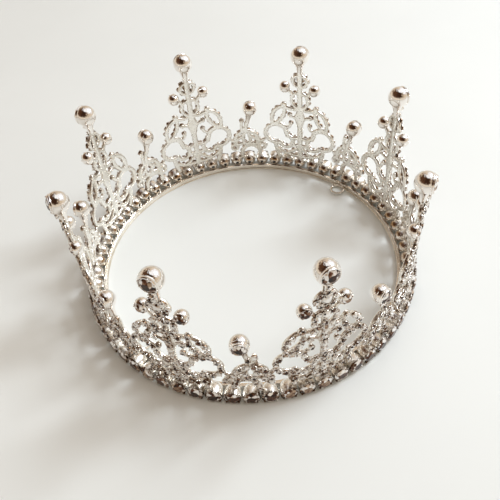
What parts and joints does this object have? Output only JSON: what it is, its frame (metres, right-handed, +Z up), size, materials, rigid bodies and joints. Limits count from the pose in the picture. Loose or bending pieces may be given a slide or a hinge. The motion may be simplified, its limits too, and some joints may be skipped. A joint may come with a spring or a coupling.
{
  "type": "crown",
  "caption": "Round silver openwork crown with tall and short scrolled peaks in turn, ball finials, pave stones and a base row of large round stones.",
  "frame": {"origin": "centre of the base, on the plane that the crown stands on", "axes": "+Z up along the crown's axis; +X through the right pin loop and the short peak above it"},
  "size_m": [0.1358, 0.1358, 0.0632],
  "materials": {
    "band_metal": "bright silver plate, lightly brushed along the band",
    "cup_metal": "bright silver plate on pressed cups",
    "cast_metal": "silver plate on a slightly rough casting",
    "ball_metal": "mirror-bright silver plate",
    "crystal_large": "clear foiled cut glass",
    "crystal_small": "clear foiled cut glass"
  },
  "bodies": {
    "root": {"base_band": "band_metal", "base_cups": "cup_metal", "base_stones": "crystal_large", "pin_loop_right": "band_metal", "pin_loop_left": "band_metal", "tall_panel_1": "cast_metal", "tall_panel_2": "cast_metal", "tall_panel_3": "cast_metal", "tall_panel_4": "cast_metal", "tall_panel_5": "cast_metal", "tall_panel_6": "cast_metal", "tall_panel_7": "cast_metal", "tall_panel_8": "cast_metal", "short_panel_1": "cast_metal", "short_panel_2": "cast_metal", "short_panel_3": "cast_metal", "short_panel_4": "cast_metal", "short_panel_5": "cast_metal", "short_panel_6": "cast_metal", "short_panel_7": "cast_metal", "short_panel_8": "cast_metal", "tall_finial_1": "ball_metal", "tall_finial_2": "ball_metal", "tall_finial_3": "ball_metal", "tall_finial_4": "ball_metal", "tall_finial_5": "ball_metal", "tall_finial_6": "ball_metal", "tall_finial_7": "ball_metal", "tall_finial_8": "ball_metal", "short_finial_1": "ball_metal", "short_finial_2": "ball_metal", "short_finial_3": "ball_metal", "short_finial_4": "ball_metal", "short_finial_5": "ball_metal", "short_finial_6": "ball_metal", "short_finial_7": "ball_metal", "short_finial_8": "ball_metal", "tall_finial_stones": "crystal_large", "short_finial_stones": "crystal_large", "side_domes": "ball_metal", "side_dome_stones": "crystal_large", "neck_stones": "crystal_small", "tall_panel_stones": "crystal_small", "short_panel_stones": "crystal_small"}
  },
  "joints": []
}
